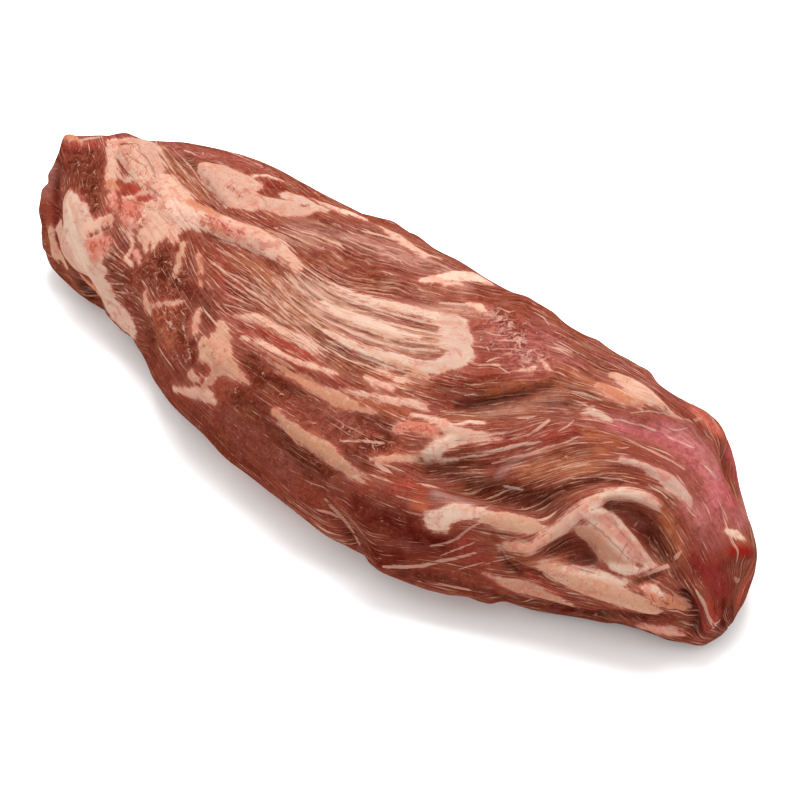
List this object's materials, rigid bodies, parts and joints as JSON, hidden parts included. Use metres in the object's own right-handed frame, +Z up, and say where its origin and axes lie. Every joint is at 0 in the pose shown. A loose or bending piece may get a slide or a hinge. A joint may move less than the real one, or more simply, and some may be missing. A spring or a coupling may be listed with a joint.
{
  "type": "whole raw beef cut",
  "caption": "Long whole muscle of raw marbled beef, trimmed and unsliced, with fat seams, folds and a flat resting side.",
  "frame": {"origin": "centre of the cut's outline seen from above, on the table it lies on", "axes": "+X along the cut towards its rounded end, +Y towards its straight back edge, +Z up from the table"},
  "size_m": [0.3614, 0.1364, 0.0679],
  "materials": {
    "beef": "moist raw meat, dark red lean with cream fat"
  },
  "bodies": {
    "root": {"beef_cut": "beef"}
  },
  "joints": []
}
